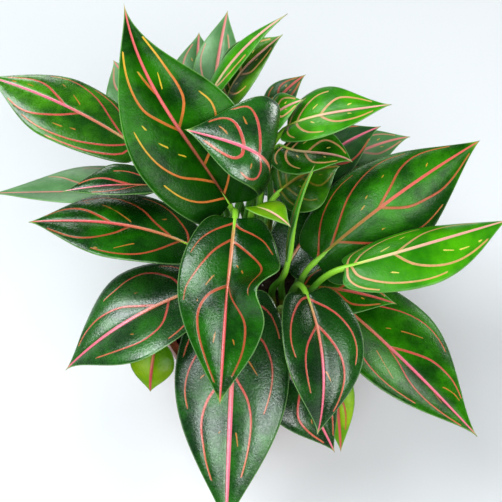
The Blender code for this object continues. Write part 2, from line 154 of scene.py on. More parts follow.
class Recipe:
    """A material or group under construction: adds nodes and wires them in one line each."""

    def __init__(self, tree):
        self.tree = tree

    def node(self, kind, *sources, **settings):
        """Add a node, set its settings and feed its inputs in order from values or sockets."""
        made = self.tree.nodes.new("ShaderNode" + kind)
        for key, value in settings.items():
            if key.startswith("in_"):
                self.feed(made.inputs[key[3:].replace("_", " ")], value)
            else:
                setattr(made, key, value)
        for socket, source in zip(made.inputs, sources):
            self.feed(socket, source)
        return made

    def feed(self, socket, source):
        """Put a value, or a wire from another node's socket, into a socket."""
        if source is None:
            return
        if isinstance(source, bpy.types.NodeSocket):
            self.tree.links.new(source, socket)
        elif isinstance(source, tuple) and len(source) == 3 and socket.type == "RGBA":
            socket.default_value = (*source, 1.0)
        else:
            socket.default_value = source

    def math(self, operation, *sources, clamp=False):
        """A sum, product and so on of one to three values."""
        return self.node("Math", *sources, operation=operation, use_clamp=clamp).outputs[0]

    def mix(self, factor, first, second, blend="MIX"):
        """A blend of two colours."""
        made = self.tree.nodes.new("ShaderNodeMix")
        made.data_type = "RGBA"
        made.blend_type = blend
        self.feed(made.inputs[0], factor)
        self.feed(made.inputs[6], first)
        self.feed(made.inputs[7], second)
        return made.outputs[2]

    def past_edge(self, away, half_width):
        """How far a spot lies past the edge of a line, from its distance and the line's half width."""
        return self.math("SUBTRACT", self.math("ABSOLUTE", away), half_width)

    def span(self, value, low, high, to_low=0.0, to_high=1.0):
        """A value carried smoothly from one range to another, held at the ends."""
        made = self.tree.nodes.new("ShaderNodeMapRange")
        made.interpolation_type = "SMOOTHSTEP"
        for socket, source in zip(made.inputs, (value, low, high, to_low, to_high)):
            self.feed(socket, source)
        return made.outputs[0]

    def speckle(self, place, scale, detail=3.0, rough=0.5):
        """Soft random patches: a noise of a given fineness."""
        return self.node("TexNoise", in_Vector=place, in_Scale=scale, in_Detail=detail, in_Roughness=rough).outputs[0]

    def height(self, place):
        """The height of a spot above the floor."""
        return self.node("SeparateXYZ", place).outputs["Z"]

    def grain(self, shader, relief, strength, depth):
        """Raise a relief on the surface of a shader, up to a depth in metres."""
        bump = self.node("Bump", in_Strength=strength, in_Distance=depth, in_Height=relief)
        self.feed(shader.inputs["Normal"], bump.outputs[0])


def new_material(name):
    """An empty shaded material, its recipe, its shader and its object coordinates."""
    material = bpy.data.materials.new(name)
    material.use_nodes = True
    recipe = Recipe(material.node_tree)
    shader = material.node_tree.nodes["Principled BSDF"]
    place = recipe.node("TexCoord").outputs["Object"]
    return material, recipe, shader, place


pot_plastic, recipe, shader, place = new_material("brick_red_plastic")
mottle = recipe.speckle(place, 38.0, 4.0)
splash = recipe.math("MULTIPLY", recipe.span(recipe.speckle(place, 240.0, 5.0, 0.6), 0.58, 0.66),
                     recipe.span(recipe.height(place), 0.002, 0.05, 0.85, 0.1))
base = recipe.mix(mottle, BRICK_RED, FADED_RED)
worn = recipe.span(recipe.speckle(place, 90.0, 6.0, 0.65), 0.5, 0.75)
base = recipe.mix(recipe.math("MULTIPLY", worn, 0.35), base, SCUFF)
base = recipe.mix(splash, base, DRIED_SOIL)
recipe.feed(shader.inputs["Base Color"], base)
recipe.feed(shader.inputs["Roughness"], recipe.span(recipe.math("ADD", mottle, splash), 0.3, 1.4, 0.36, 0.8))
recipe.grain(shader, recipe.speckle(place, 900.0, 2.0), 0.25, 0.0003)
pot.data.materials.append(pot_plastic)
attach(pot, "root")
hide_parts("pot")


# The soil is dark peaty potting mix that fills the pot to a low uneven mound.
# It is loose crumbs of peat and bark, with white grains of perlite that float to the top.

# Where each cane stands in the soil, from the middle of the pot.
CANE_PLACES = {"middle": (-4, 14), "right": (17, -10), "left": (-29, 12), "back": (3, 34)}
# The top of the soil, as its height at a distance from the middle.
MOUND = [(0.0, 84.0), (15.9, 83.4), (31.8, 81.4), (41.8, 80.0), (45.2, 79.2), (60.0, 79.2)]
SOIL_EDGE, WALL_GAP, TOP_STARTS = 45.2, 0.35, 79.0
SWELL, JITTER, CRUMB_REACH, CANE_CLEARANCE = 0.9, 0.5, 44.0, 6.5


def mound_height(radius):
    """The height of the soil's top at a distance from the pot's middle."""
    for (near, high), (far, low) in zip(MOUND, MOUND[1:]):
        if radius <= far:
            return high + (low - high) * (radius - near) / (far - near)
    return MOUND[-1][1]


soil_rings = [(0.6, 2.8), (33.6, 2.8), (34.9, 3.9)]
soil_rings += [(inner_radius(height) - WALL_GAP, height) for height in (62.0, 78.0)]
soil_rings += [(SOIL_EDGE - 1.5 * i, mound_height(SOIL_EDGE - 1.5 * i)) for i in range(30)]
soil = turned_piece("potting_soil", soil_rings, 110)
# The noise draws its offsets from the clock unless it is seeded.
noise.seed_set(7)
for vertex in soil.data.vertices:
    spot = vertex.co / MM
    if spot.z > TOP_STARTS:
        spot.z += SWELL * noise.fractal(spot * 0.16, 1.0, 2.0, 4) - 0.2
        spot += JITTER * noise.noise_vector(spot * 0.7)
        vertex.co = spot * MM

rng = random.Random(7)
bpy.ops.object.select_all(action="DESELECT")
bpy.ops.mesh.primitive_ico_sphere_add(subdivisions=2, radius=1.0)
crumb = bpy.context.active_object
for vertex in crumb.data.vertices:
    vertex.co *= 1.0 + 0.35 * noise.noise(vertex.co * 1.7)
ground = bmesh.new()
ground.from_mesh(soil.data)
# Peat crumbs, bark bits and perlite grains: how many, the range of their size, how flat, and which material.
CRUMB_KINDS = [(230, (0.5, 1.5), 0.7, 1), (70, (0.9, 2.2), 0.35, 2), (46, (0.6, 1.3), 0.85, 3)]
for count, sizes, flatness, slot in CRUMB_KINDS:
    for _ in range(count):
        radius = CRUMB_REACH * math.sqrt(rng.random())
        turn = rng.uniform(0, math.tau)
        spot = Vector((radius * math.cos(turn), radius * math.sin(turn), mound_height(radius) + 0.1))
        if min((Vector(place) - spot.xy).length for place in CANE_PLACES.values()) < CANE_CLEARANCE:
            continue
        size = rng.uniform(*sizes)
        form = Matrix.Diagonal((size, size * rng.uniform(0.6, 1.0), size * flatness)).to_4x4()
        tilt = Matrix.Rotation(rng.uniform(0, math.tau), 4, "Z") @ Matrix.Rotation(rng.uniform(-0.5, 0.5), 4, "X")
        known = len(ground.verts)
        ground.from_mesh(crumb.data)
        ground.verts.ensure_lookup_table()
        ground.faces.ensure_lookup_table()
        fresh = ground.verts[known:]
        bmesh.ops.transform(ground, matrix=Matrix.Scale(MM, 4) @ Matrix.Translation(spot) @ tilt @ form, verts=fresh)
        for face in ground.faces[-len(crumb.data.polygons):]:
            face.material_index = slot
ground.to_mesh(soil.data)
ground.free()
bpy.data.objects.remove(crumb, do_unlink=True)
select_only(soil)
bpy.ops.object.shade_smooth()

# Each material of the soil: its dark and light tone, and how rough it is.
SOIL_LOOKS = [("damp_peat", (0.020, 0.012, 0.007), (0.055, 0.034, 0.020), 0.92),
              ("peat_crumbs", (0.026, 0.015, 0.009), (0.075, 0.045, 0.026), 0.95),
              ("bark_bits", (0.070, 0.035, 0.016), (0.15, 0.085, 0.045), 0.85),
              ("perlite_grains", (0.50, 0.48, 0.44), (0.78, 0.77, 0.74), 0.9)]
for name, dark, light, roughness in SOIL_LOOKS:
    material, recipe, shader, place = new_material(name)
    patches = recipe.speckle(place, 420.0, 5.0, 0.65)
    grit = recipe.speckle(place, 1700.0, 3.0, 0.6)
    recipe.feed(shader.inputs["Base Color"], recipe.mix(recipe.span(patches, 0.35, 0.68), dark, light))
    shader.inputs["Roughness"].default_value = roughness
    recipe.grain(shader, recipe.math("ADD", patches, grit), 0.7, 0.0006)
    soil.data.materials.append(material)
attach(soil, "root")
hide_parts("soil")


# Each cane is a short upright stem, soft green at its growing point and woody at the soil.
# Pale rings on it are the scars of leaves that have dropped. It grows up out of the soil to a rounded tip.

CANE_TOPS = {"middle": 136, "right": 108, "left": 114, "back": 114}
CANE_FOOT, FIRST_SCAR, SCAR_SPACING, SMOOTH_TIP = 58.0, 66.0, 4.8, 12
WOODY, SOFT_GREEN = (0.17, 0.14, 0.055), (0.20, 0.34, 0.055)
DARK_FLECKS, PALE_SCAR = (0.12, 0.19, 0.035), (0.42, 0.38, 0.20)

cane_skin, recipe, shader, place = new_material("green_cane")
height = recipe.height(place)
ripple = recipe.math("ADD", height, recipe.math("MULTIPLY", recipe.speckle(place, 130.0), 0.0012))
ring = recipe.math("PINGPONG", ripple, SCAR_SPACING * MM / 2)
scar = recipe.span(ring, 0.0003, 0.0007, 1.0, 0.0)
uneven = recipe.math("MULTIPLY", recipe.speckle(place, 160.0), 0.012)
age = recipe.span(recipe.math("ADD", height, uneven), 0.086, 0.112)
skin = recipe.mix(age, WOODY, SOFT_GREEN)
skin = recipe.mix(recipe.speckle(place, 420.0, 4.0), skin, DARK_FLECKS)
skin = recipe.mix(recipe.math("MULTIPLY", scar, 0.7), skin, PALE_SCAR)
recipe.feed(shader.inputs["Base Color"], skin)
shader.inputs["Roughness"].default_value = 0.45
recipe.grain(shader, recipe.math("ADD", scar, recipe.speckle(place, 700.0)), 0.5, 0.0004)

for name, middle in CANE_PLACES.items():
    top = CANE_TOPS[name]
    rings = [(0.4, CANE_FOOT), (3.9, CANE_FOOT), (4.4, CANE_FOOT + 0.6)]
    height = FIRST_SCAR
    while height < top - SMOOTH_TIP:
        rings += [(4.35, height), (4.6, height + 0.5), (4.55, height + 1.0), (4.3, height + 1.6)]
        height += SCAR_SPACING
    rings += [(4.5, top - 9.5), (4.2, top - 7.5), (3.4, top - 5.0), (2.6, top - 2.5), (1.7, top - 0.8), (0.3, top)]
    cane = turned_piece("stem_" + name, rings, 28, middle)
    select_only(cane)
    bpy.ops.object.shade_smooth()
    cane.data.materials.append(cane_skin)
    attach(cane, "root")
    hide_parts("cane_" + name)


# Each leaf is one grown piece: a round green stalk that clasps its cane, running on under the blade
# as its rib, and a pointed oval blade with two round lobes at its base. Its pink veins leave the
# midrib in pairs and curve toward the tip, and short pink dashes lie between them.

def leaf(cane, foot, neck, tip, width, look, bow=(8, 8), sway=(0, 0), face=0, share=(1, 1), fold=(12, 12),
         curl=(-14, -14), ripples=(), widest=0.38, taper=1.5, lean=0.35, rib=1.0):
    """The facts of one leaf on a cane, in millimetres and degrees. The first of a pair is for its left half."""
    return dict(locals())


LEAVES = {
    "leaf_01": leaf("middle", (118, 172), (-11, 18, 167), (-61, 81, 245), 60, "shaded amber", bow=(6, 4),
                    sway=(-4, -16), fold=(14, 46), curl=(-14, -16), widest=0.36, taper=1.7, rib=1.1,
                    ripples=((1, 0.14, 0.14, 20),)),
    "leaf_02": leaf("middle", (128, -20), (7, 23, 175), (-32, 30, 212), 54, "glazed pink", bow=(38, 18), face=12,
                    share=(0.6, 1.16), fold=(14, 14), curl=(-24, -16), widest=0.52,
                    ripples=((1, 0.12, 0.14, -34), (-1, 0.1, 0.16, -4))),
    "leaf_03": leaf("middle", (122, -140), (-8, 2, 177), (-15, -82, 142), 50, "mid red", bow=(14, 12), fold=(8, 8),
                    curl=(-15, -15), widest=0.36, taper=1.3, ripples=((-1, 0.42, 0.12, 55), (-1, 0.62, 0.16, 25))),
    "leaf_04": leaf("middle", (130, -60), (2, 4, 184), (19, -11, 189), 20, "lime salmon", bow=(4, 4), fold=(0, 50)),
    "leaf_05": leaf("middle", (104, 62), (17, 55, 168), (52, 35, 180), 36, "fresh salmon", bow=(2, 2), sway=(6, -4),
                    fold=(20, 20)),
    "leaf_06": leaf("middle", (98, 98), (19, 57, 182), (70, 51, 206), 34, "young salmon", bow=(10, 6), sway=(4, 4),
                    fold=(20, 20)),
    "leaf_07": leaf("middle", (112, 135), (10, 63, 175), (27, 62, 197), 24, "young salmon", bow=(6, 4),
                    fold=(20, 10)),
    "leaf_08": leaf("middle", (122, 25), (15, 36, 153), (48, 48, 159), 44, "olive faint"),
    "leaf_09": leaf("right", (98, -170), (-8, -12, 124), (-13, -123, 74), 60, "satin pink", bow=(12, 10),
                    fold=(20, 12), widest=0.36, taper=1.4, rib=1.4),
    "leaf_10": leaf("right", (100, -85), (28, -27, 152), (33, -88, 118), 46, "deep pink", bow=(10, 10), sway=(-6, -6),
                    fold=(0, 48), taper=1.4),
    "leaf_11": leaf("right", (98, -125), (11, -38, 112), (45, -83, 78), 42, "deep pink", bow=(10, 8)),
    "leaf_12": leaf("right", (88, -60), (44, -36, 98), (50, -77, 62), 20, "lime coral", bow=(6, 6), lean=1.0),
    "leaf_13": leaf("right", (87, -10), (42, 7, 96), (123, -74, 78), 66, "fresh pink", bow=(12, 10), sway=(2, 2),
                    fold=(8, 42), widest=0.42, lean=1.0, rib=1.3),
    "leaf_14": leaf("right", (100, -42), (46, -21, 169), (127, 1, 177), 42, "young salmon", bow=(10, 4), sway=(6, 2),
                    fold=(-22, 8), widest=0.42, taper=1.3),
    "leaf_15": leaf("right", (100, 0), (33, -7, 152), (116, 41, 190), 64, "fresh coral", fold=(0, -34), widest=0.36,
                    taper=1.3, rib=0.85),
    "leaf_16": leaf("right", (100, 130), (18, -8, 156), (31, 18, 200), 11, "young faint", bow=(4, 4), face=62,
                    fold=(10, 10), widest=0.45),
    "leaf_17": leaf("right", (100, 85), (19, 6, 122), (57, 62, 135), 38, "deep pink", fold=(26, 10)),
    "leaf_18": leaf("right", (94, 40), (27, 3, 108), (81, -8, 107), 32, "fresh coral", bow=(6, 6), lean=0.8),
    "leaf_19": leaf("right", (87, 60), (45, 34, 100), (88, 52, 84), 38, "dull pink", lean=1.0),
    "leaf_20": leaf("left", (102, 100), (-64, 69, 150), (-151, 108, 165), 46, "bright pink", sway=(1, 1), fold=(8, 2),
                    widest=0.48),
    "leaf_21": leaf("left", (94, 140), (-54, 63, 124), (-146, 48, 134), 46, "misty soft", bow=(8, 4), sway=(-12, -4),
                    fold=(52, 0), widest=0.42),
    "leaf_22": leaf("left", (106, -175), (-49, 40, 152), (-100, 32, 158), 32, "deep pink", sway=(-3, -3),
                    fold=(50, 8), widest=0.42),
    "leaf_23": leaf("left", (104, -130), (-31, 6, 145), (-118, 18, 150), 50, "mid red", sway=(6, 2), fold=(28, 2),
                    widest=0.44, taper=1.4, rib=1.15),
    "leaf_24": leaf("left", (98, -85), (-27, -12, 132), (-99, -47, 105), 62, "satin pink", bow=(10, 10), sway=(2, 2),
                    fold=(34, 4), widest=0.42, taper=1.6, rib=1.3),
    "leaf_25": leaf("left", (88, -120), (-52, -32, 105), (-55, -52, 88), 24, "lime red", bow=(4, 6), lean=1.0),
    "leaf_26": leaf("back", (100, 0), (27, 53, 140), (71, 71, 165), 38, "dull pink"),
    "leaf_27": leaf("back", (88, 20), (46, 71, 125), (92, 84, 140), 30, "misty soft", lean=0.8),
    "leaf_28": leaf("back", (98, 115), (-22, 87, 160), (-13, 134, 190), 26, "misty soft"),
    "leaf_29": leaf("back", (98, 156), (-31, 88, 150), (-30, 135, 172), 34, "misty soft"),
    "leaf_30": leaf("back", (102, -170), (-24, 74, 180), (18, 84, 235), 15, "young salmon"),
    "leaf_31": leaf("back", (102, 81), (-13, 77, 180), (16, 85, 220), 34, "moss salmon", bow=(8, 4), fold=(24, 24)),
    "leaf_32": leaf("back", (100, 40), (9, 81, 160), (30, 95, 180), 20, "dull coral", bow=(6, 6)),
    "leaf_33": leaf("back", (88, 132), (-57, 88, 136), (-83, 138, 146), 36, "misty soft", lean=0.8),
    "leaf_34": leaf("back", (87, 75), (14, 66, 104), (40, 104, 86), 40, "dull pink", lean=1.0),
    "leaf_35": leaf("back", (87, 175), (-26, 58, 108), (-46, 106, 92), 40, "dull pink", lean=1.0),
}

# The veins of a half, first to last, each as its knots: how far along the blade and how far out to the
# margin, both in hundredths.
PLAIN_VEINS = (((2, 0), (7, 28), (11, 55), (16, 75), (22, 85)), ((13, 0), (20, 34), (27, 57), (35, 72), (46, 80)),
               ((38, 0), (47, 30), (56, 53), (67, 63), (77, 68), (86, 68)))
PLAIN_DASHES = (((30, 26), (35, 38)), ((63, 24), (67, 31)))
# The large leaves have their own veins: left half, right half, then the short dashes of each.
VEINS = {
    "leaf_01": (
        (((3, 0), (9, 38), (14, 61), (20, 74), (28, 80)), ((12, 0), (20, 28), (26, 50), (34, 64), (43, 72), (52, 78)),
         ((41, 0), (50, 25), (57, 46), (66, 61), (75, 74), (82, 84)), ((59, 0), (67, 16), (72, 28))),
        (((5, 0), (12, 30), (19, 50), (27, 62)), ((22, 0), (30, 40), (37, 62), (45, 74), (52, 72)),
         ((42, 0), (51, 37), (59, 51), (68, 60), (76, 72), (85, 85))),
        (((39, 37), (43, 47)), ((31, 20), (34, 29)), ((50, 56), (53, 61))),
        (((61, 17), (68, 32)),)),
    "leaf_02": (
        (((42, 0), (36, 40), (36, 70), (44, 82), (53, 76)),
         ((58, 0), (57, 30), (62, 50), (71, 56), (81, 56), (86, 55))),
        (((42, 0), (50, 32), (57, 55), (66, 78), (76, 86)), ((57, 0), (63, 20), (71, 45), (80, 68), (88, 80))),
        (((47, 41), (46, 56)),),
        (((72, 15), (80, 38)), ((62, 39), (66, 54)))),
    "leaf_03": (
        (((2, 0), (7, 22), (11, 51), (15, 75), (21, 88)), ((13, 0), (20, 34), (27, 60), (35, 73), (45, 79)),
         ((38, 0), (47, 30), (56, 53), (66, 62), (76, 66), (86, 65))),
        (((2, 0), (6, 28), (11, 58), (16, 77), (22, 85)), ((12, 0), (19, 34), (26, 53), (33, 68), (40, 82), (47, 88)),
         ((38, 0), (43, 35), (52, 58), (62, 66), (72, 68), (82, 66), (89, 60))),
        (((27.5, 15), (29, 19)), ((31, 28), (33, 34)), ((66, 30), (69, 36))),
        (((33, 29), (39, 44)), ((46, 58), (48, 60)), ((63, 23), (69, 31)))),
    "leaf_04": ((), (), (), ()),
    "leaf_09": (
        (((3, 0), (6, 50), (11, 78), (16, 86), (21, 88)), ((10, 0), (19, 49), (25, 64), (32, 71), (41, 70), (51, 64)),
         ((32, 0), (37, 10), (44, 29), (52, 41), (61, 47), (70, 51), (78, 53))),
        (((4, 0), (8, 40), (14, 68), (22, 84), (29, 88)), ((14, 0), (20, 40), (27, 64), (34, 76), (42, 82), (50, 80)),
         ((33, 0), (43, 35), (50, 50), (57, 59), (65, 63), (72, 68), (80, 70))),
        (((29, 30), (35, 46)), ((59, 15), (65, 23))),
        (((35, 47), (37, 56)), ((58, 20), (60, 25)))),
    "leaf_10": (
        (((2, 0), (7, 18), (14, 44), (21, 62), (31, 76), (42, 81), (52, 80)),
         ((21, 0), (33, 23), (45, 42), (58, 56), (70, 66), (83, 80))),
        (((2, 0), (5, 36), (13, 63), (22, 77), (33, 81), (43, 76)),
         ((22, 0), (34, 38), (46, 53), (58, 57), (68, 58))),
        (((55, 8), (62, 21)),),
        ()),
    "leaf_12": ((((30, 0), (50, 40), (75, 62)),), (((30, 0), (50, 40), (75, 62)),), (), ()),
    "leaf_13": (
        (((3, 0), (8, 10), (16, 27), (24, 45), (33, 64), (43, 78), (55, 86), (64, 88)),
         ((42, 0), (54, 27), (61, 44), (69, 60), (76, 75), (84, 86))),
        (((3, 0), (12, 30), (25, 56), (39, 73), (46, 79), (54, 83), (68, 87)),
         ((40, 0), (51, 19), (60, 42), (70, 58), (81, 71), (91, 85))),
        (((35, 22), (37, 27)), ((41, 36), (51, 58)), ((73, 28), (78, 48)), ((78, 50), (84, 68))),
        (((40, 37), (48, 52)), ((49, 54), (54, 64)), ((71, 5), (78, 25)))),
    "leaf_14": (
        (((1, 0), (3, 35), (6, 60), (10, 80), (15, 87)), ((5, 0), (11, 40), (19, 64), (29, 76), (42, 80), (52, 82)),
         ((30, 0), (42, 28), (52, 48), (63, 62), (74, 72), (85, 74))),
        (((1, 0), (4, 60), (10, 86), (18, 93)), ((3, 0), (8, 46), (14, 64), (22, 76), (32, 82), (42, 85), (53, 86)),
         ((28, 0), (36, 40), (48, 62), (60, 74), (72, 80), (84, 84))),
        (((22, 20), (28, 30)), ((36, 50), (40, 56))),
        (((24, 50), (28, 56)), ((55, 32), (61, 44)), ((64, 50), (71, 57)), ((77, 62), (80, 65)))),
    "leaf_15": (
        (((1, 0), (6, 22), (11, 43), (17, 63), (24, 76), (32, 84), (41, 87)),
         ((10, 0), (22, 29), (32, 52), (44, 70), (57, 84), (68, 88)),
         ((40, 0), (51, 19), (60, 43), (70, 66), (80, 80), (88, 85))),
        (((14, 0), (26, 36), (36, 54), (46, 68), (54, 77), (62, 83), (69, 88)),
         ((41, 0), (52, 28), (63, 44), (73, 60), (84, 70), (93, 68))),
        (((33, 16), (36, 19)), ((51, 46), (53, 50)), ((38, 28), (40, 31)), ((71, 19), (73, 27))),
        (((35, 30), (37, 32)),)),
    "leaf_16": ((), (), (), ()),
    "leaf_17": ((), (((20, 0), (40, 50), (70, 75)),), (), ()),
    "leaf_20": (
        (((1, 0), (8, 66), (20, 88), (33, 93), (48, 94)),
         ((3, 0), (8, 30), (16, 56), (28, 74), (41, 82), (54, 84), (66, 86)),
         ((37, 0), (45, 28), (53, 47), (62, 66), (71, 80), (79, 86))),
        (((2, 0), (10, 44), (18, 67), (24, 82), (33, 90), (40, 93)),
         ((8, 0), (21, 32), (32, 60), (43, 78), (55, 87), (67, 90)),
         ((47, 0), (57, 22), (65, 42), (74, 56), (83, 60), (88, 60))),
        (((41, 58), (47, 60)), ((34, 50), (37, 52))),
        (((54, 54), (57, 60)), ((40, 21), (47, 39)), ((70, 20), (74, 24)), ((80, 20), (84, 24)))),
    "leaf_21": (
        (((5, 0), (15, 40), (30, 66), (46, 80)),),
        (((10, 0), (20, 50), (28, 76), (36, 87), (46, 90)), ((35, 0), (51, 35), (59, 60), (68, 86))),
        (),
        ()),
    "leaf_22": (
        (((20, 0), (37, 50), (54, 75), (69, 85)),),
        (((4, 0), (11, 30), (21, 49), (34, 60), (48, 62)), ((28, 0), (44, 16), (57, 36), (71, 55), (85, 75))),
        (),
        ()),
    "leaf_23": (
        (((7, 0), (13, 33), (20, 62), (28, 80), (38, 87), (47, 88), (58, 88)),
         ((38, 0), (44, 27), (51, 45), (60, 62), (69, 74), (78, 80), (87, 84))),
        (((2, 0), (7, 40), (14, 63), (20, 78), (27, 86), (36, 88)),
         ((12, 0), (25, 25), (34, 50), (46, 67), (59, 78), (71, 86)),
         ((49, 0), (59, 20), (67, 40), (75, 60), (84, 78), (91, 85))),
        (((33, 56), (44, 77)), ((53, 84), (56, 84))),
        (((38, 10), (50, 36)), ((51, 38), (58, 52)), ((65, 64), (68, 72)), ((20, 46), (22, 40)))),
    "leaf_24": (
        (((2, 0), (8, 50), (15, 78), (22, 87), (30, 90)),
         ((20, 0), (24, 30), (30, 56), (41, 66), (53, 65), (64, 65), (75, 68))),
        (((2, 0), (5, 50), (11, 80), (19, 88)), ((10, 0), (13, 41), (19, 63), (27, 76), (38, 76), (48, 71), (58, 74)),
         ((27, 0), (39, 16), (48, 30), (59, 43), (69, 57), (80, 72), (85, 74))),
        (((47, 43), (49, 40)),),
        (((36, 40), (38, 42)),)),
    "leaf_25": ((), (), (), ()),
    "leaf_26": (
        (((30, 0), (46, 39), (57, 57), (70, 76), (81, 86)),),
        (((30, 0), (45, 50), (58, 75), (72, 86), (84, 88)),),
        (),
        ()),
    "leaf_28": (
        (((10, 0), (22, 39), (35, 63), (49, 78), (63, 84)),),
        (((10, 0), (30, 30), (45, 45), (60, 50), (75, 45)),),
        (),
        ()),
    "leaf_30": ((), (((15, 0), (30, 50), (60, 70)),), (), ()),
}


# Sizes in millimetres: the blade and its relief, its lobes as shares of its length, the stalk, the rib, the lines.
BLADE_THICKNESS, FULL_GRID_LENGTH = 0.42, 60
PUCKER, PUCKER_SPREAD = 0.3, 1.8
CHANNEL, CHANNEL_SPREAD = 0.45, 1.1
WAVE = 0.5
LOBE_DEPTH, LOBE_PLACE = 0.07, 0.06
STALK_FOOT, STALK_TAPER, STALK_STEPS = 2.3, 0.8, 14
RIB_RADIUS, RIB_SUNK, RIB_STEPS = 1.5, 0.55, 12
SEAT_GAP, PULL, RIB_END = 0.3, 0.42, 0.93
DASH_HALF_WIDTH, VEIN_HALF_WIDTH = 0.5, 0.62
FAR_OFF = 9.0
NO_VEIN = (FAR_OFF, -3.0, 0.0)


def blade_length(facts):
    """The length of a blade from its neck straight to its tip."""
    return (Vector(facts["tip"]) - Vector(facts["neck"])).length


def half_width(facts, t):
    """The half width of a blade over its largest: a rounded base and a drawn-out tip."""
    if t < facts["widest"]:
        return math.sqrt(max(0.0, 1 - (1 - t / facts["widest"]) ** 2.2))
    u = (t - facts["widest"]) / (1 - facts["widest"])
    return (1 - u) ** facts["taper"] * (1 + facts["taper"] * u)


def leaf_frame(facts, t):
    """The point on the midrib at t, its direction, the blade's upward normal and its right side."""
    neck = Vector(facts["neck"])
    chord = Vector(facts["tip"]) - neck
    along = chord.normalized()
    upward = (Vector((0, 0, 1)) - along * along.z).normalized()
    upward = Matrix.Rotation(-math.radians(facts["face"]), 3, along) @ upward
    rightward = along.cross(upward)
    point = neck + chord * t
    direction = chord.copy()
    lifts = (3 * t * (1 - t) ** 2, 3 * t ** 2 * (1 - t))
    slopes = (3 * (1 - t) * (1 - 3 * t), 3 * t * (2 - 3 * t))
    for i in range(2):
        shift = upward * facts["bow"][i] + rightward * facts["sway"][i]
        point = point + shift * lifts[i]
        direction = direction + shift * slopes[i]
    direction.normalize()
    normal = (upward - direction * upward.dot(direction)).normalized()
    return point, direction, normal, direction.cross(normal)


def reach_at(facts, t, side):
    """The width of one half of the blade at t, in millimetres."""
    return facts["width"] / 2 * facts["share"][side > 0] * half_width(facts, t)


def lobe_back(facts, t, out):
    """How far a spot near the neck is drawn back past it, which rounds the two lobes."""
    return LOBE_DEPTH * blade_length(facts) * out ** 1.3 * t / LOBE_PLACE * math.exp(1 - t / LOBE_PLACE)


def blade_point(facts, t, s):
    """A point of the blade: t from neck to tip, s from the left margin (-1) to the right one (1)."""
    point, direction, normal, rightward = leaf_frame(facts, t)
    side = 1 if s > 0 else -1
    out = abs(s)
    angle = facts["fold"][side > 0] + facts["curl"][side > 0] * out
    for which, place, spread, turn in facts["ripples"]:
        if which == side:
            angle += turn * math.exp(-((t - place) / spread) ** 2)
    reach = out * reach_at(facts, t, side)
    across = reach * math.cos(math.radians(angle)) * side
    lift = reach * math.sin(math.radians(angle))
    return point - direction * lobe_back(facts, t, out) + rightward * across + normal * lift


def flat_place(facts, side, t, out):
    """Where a spot of the blade would lie if the blade were flat: along it and out from the midrib, in mm."""
    return Vector((t * blade_length(facts) - lobe_back(facts, t, out), out * reach_at(facts, t, side)))


def flat_line(facts, side, knots):
    """A vein or dash as short straight steps along a smooth curve through its knots, on the flat blade."""
    line = []
    for i in range(len(knots) - 1):
        before, first, last, after = (Vector(knots[min(max(i + k, 0), len(knots) - 1)]) for k in (-1, 0, 1, 2))
        for step in range(3):
            u = step / 3
            spot = first + (last - before) * 0.5 * u + (before * 2 - first * 5 + last * 4 - after) * 0.5 * u ** 2
            spot += (first * 3 - before - last * 3 + after) * 0.5 * u ** 3
            line.append(flat_place(facts, side, min(0.99, max(0.0, spot.x)), min(1.0, max(0.0, spot.y))))
    line.append(flat_place(facts, side, *knots[-1]))
    return line


def vein_reading(line, width, spot):
    """How far a spot is from a vein, signed by its side, the vein's half width there and the share of it run."""
    found = NO_VEIN
    steps = len(line) - 1
    for i in range(steps):
        first, last = line[i], line[i + 1]
        if abs(spot.x - first.x) > FAR_OFF:
            continue
        step = last - first
        u = (spot - first).dot(step) / max(step.length_squared, 0.0001)
        held = min(1.0, max(0.0, u))
        gap = spot - first - step * held
        away = gap.length
        if away < abs(found[0]):
            run = (i + held) / steps
            ending = (i == 0 and u < 0) or (i == steps - 1 and u > 1)
            over = abs(u - held) * step.length if ending else 0.0
            sign = 1 if step.x * gap.y > step.y * gap.x else -1
            found = (away * sign, width * (1 - 0.45 * run) - over, run)
    return found


def veins_of(name, facts):
    """The veins and dashes of each half of a leaf: their lines on the flat blade and their half widths."""
    rng = random.Random("evergreen_" + name)
    own = VEINS.get(name)
    veins = {}
    for side, half in ((-1, 0), (1, 1)):
        lines, dashes = (own[half], own[half + 2]) if own else (PLAIN_VEINS, PLAIN_DASHES)
        shift = 0.0 if own else rng.uniform(-0.03, 0.03)
        lines = [[(max(0.01, t / 100 + shift), out / 100) for t, out in line] for line in lines]
        dashes = [[(t / 100, out / 100) for t, out in dash] for dash in dashes]
        veins[side] = ([(flat_line(facts, side, line), VEIN_HALF_WIDTH + 0.3 * line[0][0]) for line in lines],
                       [(flat_line(facts, side, dash), DASH_HALF_WIDTH) for dash in dashes])
    return veins


def weld(piece, gap):
    """Merge the points of a piece that lie closer together than a gap, in metres."""
    select_only(piece)
    bpy.ops.object.mode_set(mode="EDIT")
    bpy.ops.mesh.select_all(action="SELECT")
    bpy.ops.mesh.remove_doubles(threshold=gap)
    bpy.ops.object.mode_set(mode="OBJECT")


